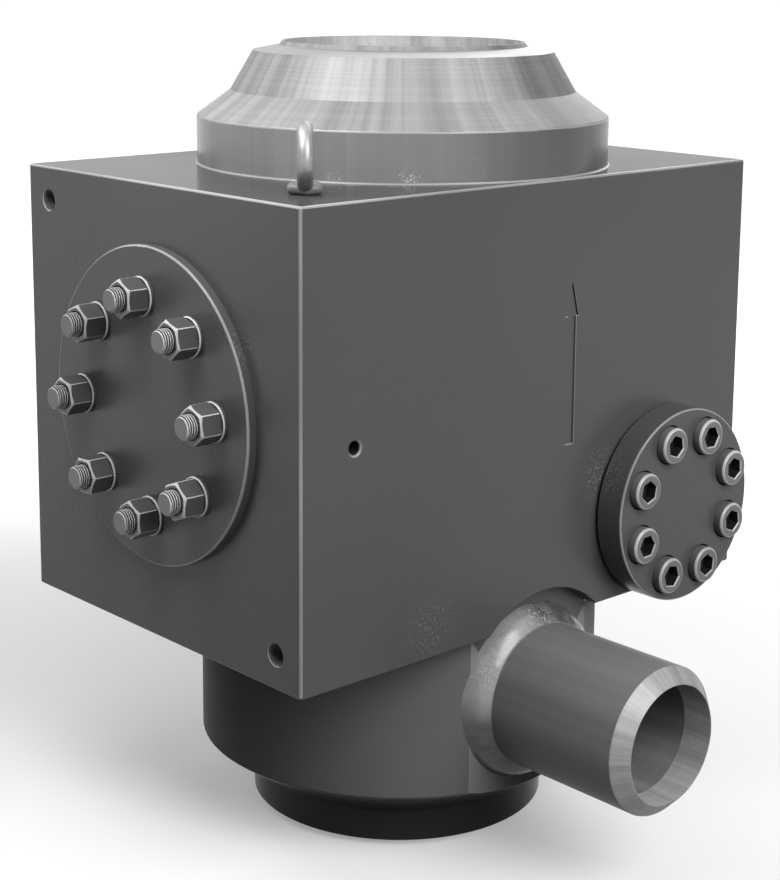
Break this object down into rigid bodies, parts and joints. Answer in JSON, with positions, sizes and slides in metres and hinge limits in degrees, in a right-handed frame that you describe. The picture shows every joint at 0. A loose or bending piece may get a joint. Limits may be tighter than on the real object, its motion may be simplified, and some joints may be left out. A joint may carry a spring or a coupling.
{
  "type": "swing check valve",
  "caption": "Forged-block swing check valve with butt-weld ends, pressure-seal side bonnet, hinge shaft cover, upstream branch pipe and a swinging disc.",
  "frame": {"origin": "centre of the inlet end face on the flow axis", "axes": "+Z along the flow from inlet to outlet, -Y towards the branch pipe and the hinge cover, -X towards the bonnet"},
  "size_m": [0.6264, 0.569, 0.774],
  "materials": {
    "body_paint": "glossy dark grey paint over machined steel, bare at the weld ends",
    "fastener_paint": "thin grey paint worn at the edges",
    "machined_steel": "fine turned",
    "forged_steel": "forged and blasted",
    "weld_metal": "painted weld bead, glossy",
    "bronze": "turned",
    "graphite": "pressed graphite, dull"
  },
  "bodies": {
    "valve": {"valve_body": "body_paint", "seat_ring": "machined_steel", "hinge_shaft": "machined_steel", "front_shaft_bush": "bronze", "rear_shaft_bush": "bronze", "hinge_cover": "body_paint", "hinge_cover_gasket": "graphite", "hinge_cover_screws": "fastener_paint", "branch_pipe": "body_paint", "branch_weld": "weld_metal", "bonnet_plug": "forged_steel", "bonnet_seal_ring": "graphite", "bonnet_backing_ring": "machined_steel", "bonnet_segment_ring": "forged_steel", "bonnet_retainer_plate": "body_paint", "bonnet_studs": "fastener_paint", "bonnet_washers": "fastener_paint", "bonnet_nuts": "fastener_paint", "front_lifting_eye": "fastener_paint", "rear_lifting_eye": "fastener_paint"},
    "flap": {"swing_arm": "forged_steel", "arm_bush_front": "bronze", "arm_bush_rear": "bronze"},
    "disc": {"valve_disc": "machined_steel", "disc_washer": "machined_steel", "disc_nut": "machined_steel", "disc_split_pin": "machined_steel"}
  },
  "joints": [
    {"name": "flap_swing", "type": "hinge", "parent": "valve", "child": "flap", "pos_m": [0.164, 0, 0.325], "axis": [0, 1, 0], "range_deg": [0, 60]},
    {"name": "disc_turn", "type": "hinge", "parent": "flap", "child": "disc", "pos_m": [0, 0, 0.3], "axis": [0, 0, 1], "continuous": true}
  ]
}
